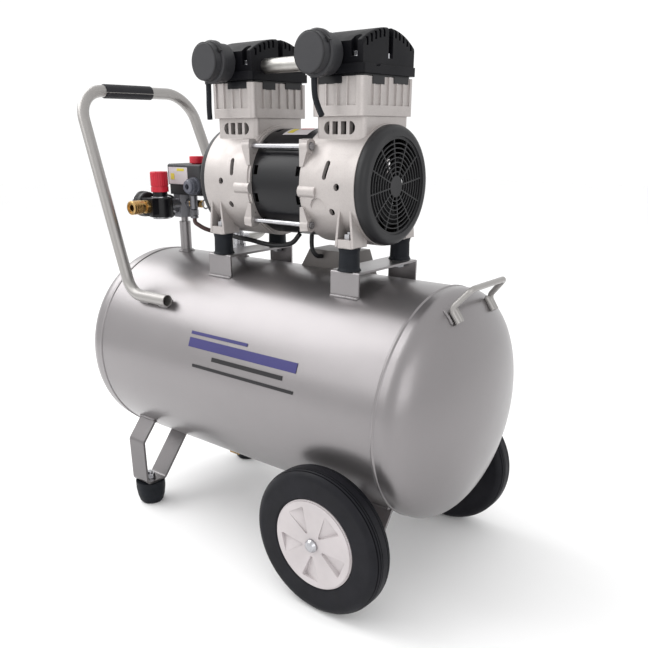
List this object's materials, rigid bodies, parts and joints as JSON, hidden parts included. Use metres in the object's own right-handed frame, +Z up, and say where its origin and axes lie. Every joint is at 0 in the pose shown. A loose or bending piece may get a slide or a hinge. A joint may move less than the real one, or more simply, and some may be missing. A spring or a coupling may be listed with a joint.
{
  "type": "air compressor",
  "caption": "Portable electric air compressor: horizontal tank on wheels and rubber feet, oil-free piston pump on top, towing handle, regulator and gauges.",
  "frame": {"origin": "centre of the bounding box on the floor, midway between the feet end and the wheel end", "axes": "+Z up, +X towards the wheel end, the regulator and intake filters face -Y"},
  "size_m": [0.716, 0.408, 0.759],
  "materials": {
    "tank_paint": "satin",
    "handle_paint": "satin",
    "cast_aluminium": "satin",
    "bare_aluminium": "satin",
    "zinc_steel": "satin",
    "black_paint": "satin",
    "black_plastic": "matte",
    "grip_plastic": "matte",
    "grey_plastic": "matte",
    "red_plastic": "gloss",
    "white_plastic": "satin",
    "tyre_rubber": "matte",
    "black_rubber": "matte",
    "brass": "satin",
    "steel_core": "satin",
    "cable_black": "satin",
    "copper_line": "satin"
  },
  "bodies": {
    "frame": {"axle_plates": "tank_paint", "breather_hose_left": "black_rubber", "breather_hose_right": "black_rubber", "cable_gland": "grey_plastic", "capacitor": "grey_plastic", "capacitor_cable": "cable_black", "capacitor_cover": "tank_paint", "check_valve": "zinc_steel", "coupler_body": "brass", "crankcases": "cast_aluminium", "crossover_pipe": "bare_aluminium", "cylinder_blocks": "cast_aluminium", "discharge_pipe": "bare_aluminium", "drain_valve": "brass", "fan_shrouds": "black_plastic", "foot_brackets": "tank_paint", "gauge_cases": "black_plastic", "handle_grip": "grip_plastic", "head_bolts": "zinc_steel", "head_covers": "black_plastic", "intake_filters": "black_plastic", "lifting_handle": "handle_paint", "manifold": "zinc_steel", "motor_cable": "cable_black", "motor_casing": "black_paint", "mounting_bolts": "zinc_steel", "pump_brackets": "tank_paint", "regulator_body": "black_paint", "riser_pipe": "tank_paint", "rubber_feet": "black_rubber", "rubber_isolators": "black_rubber", "safety_valve": "brass", "shaft_bearings": "zinc_steel", "stator_core": "steel_core", "stub_axles": "zinc_steel", "switch_base": "black_plastic", "switch_cover": "grey_plastic", "tank_heads": "tank_paint", "tank_ports": "tank_paint", "tank_shell": "tank_paint", "tie_rods": "zinc_steel", "towing_handle": "handle_paint", "unloader_line": "copper_line", "valve_plates": "black_paint"},
    "wheel_near": {"wheel_hub_near": "white_plastic", "tyre_near": "tyre_rubber"},
    "wheel_far": {"wheel_hub_far": "white_plastic", "tyre_far": "tyre_rubber"},
    "motor_rotor": {"motor_shaft": "steel_core", "rotor_core": "steel_core", "cooling_fans": "black_plastic"},
    "piston_left": {"piston_left": "cast_aluminium"},
    "piston_right": {"piston_right": "cast_aluminium"},
    "regulator_knob": {"regulator_knob": "red_plastic"},
    "needle_outlet": {"gauge_needle_outlet": "black_plastic"},
    "needle_tank": {"gauge_needle_tank": "black_plastic"},
    "coupler_sleeve": {"coupler_sleeve": "brass"},
    "switch_button": {"switch_button": "red_plastic"},
    "safety_ring": {"safety_ring": "zinc_steel"},
    "drain_knob": {"drain_knob": "brass"}
  },
  "joints": [
    {"name": "wheel_near_spin", "type": "hinge", "parent": "frame", "child": "wheel_near", "pos_m": [0.2108, -0.176, 0.1074], "axis": [0, 1, 0], "continuous": true},
    {"name": "wheel_far_spin", "type": "hinge", "parent": "frame", "child": "wheel_far", "pos_m": [0.2108, 0.176, 0.1074], "axis": [0, 1, 0], "continuous": true},
    {"name": "motor_spin", "type": "hinge", "parent": "frame", "child": "motor_rotor", "pos_m": [0.045, 0, 0.5659], "axis": [1, 0, 0], "continuous": true},
    {"name": "piston_left_stroke", "type": "slide", "parent": "frame", "child": "piston_left", "axis": [0, 0, 1], "range_m": [-0.016, 0]},
    {"name": "piston_right_stroke", "type": "slide", "parent": "frame", "child": "piston_right", "axis": [0, 0, 1], "range_m": [-0.016, 0]},
    {"name": "regulator_turn", "type": "hinge", "parent": "frame", "child": "regulator_knob", "pos_m": [-0.2375, -0.05, 0.56], "axis": [0, 0, 1], "range_deg": [-360, 360]},
    {"name": "outlet_needle_sweep", "type": "hinge", "parent": "frame", "child": "needle_outlet", "pos_m": [-0.2737, -0.057, 0.522], "axis": [1, 0, 0], "range_deg": [0, 270]},
    {"name": "tank_needle_sweep", "type": "hinge", "parent": "frame", "child": "needle_tank", "pos_m": [-0.2737, -0.013, 0.515], "axis": [1, 0, 0], "range_deg": [0, 270]},
    {"name": "coupler_sleeve_pull", "type": "slide", "parent": "frame", "child": "coupler_sleeve", "axis": [0, 1, 0], "range_m": [0, 0.006], "stiffness_N_per_m": 400},
    {"name": "switch_button_travel", "type": "slide", "parent": "frame", "child": "switch_button", "axis": [0, 0, 1], "range_m": [0, 0.006]},
    {"name": "safety_ring_pull", "type": "slide", "parent": "frame", "child": "safety_ring", "axis": [1, 0, 0], "range_m": [0, 0.004], "stiffness_N_per_m": 500},
    {"name": "drain_knob_turn", "type": "hinge", "parent": "frame", "child": "drain_knob", "pos_m": [-0.138, 0, 0.084], "axis": [0, 0, 1], "range_deg": [0, 360]}
  ]
}
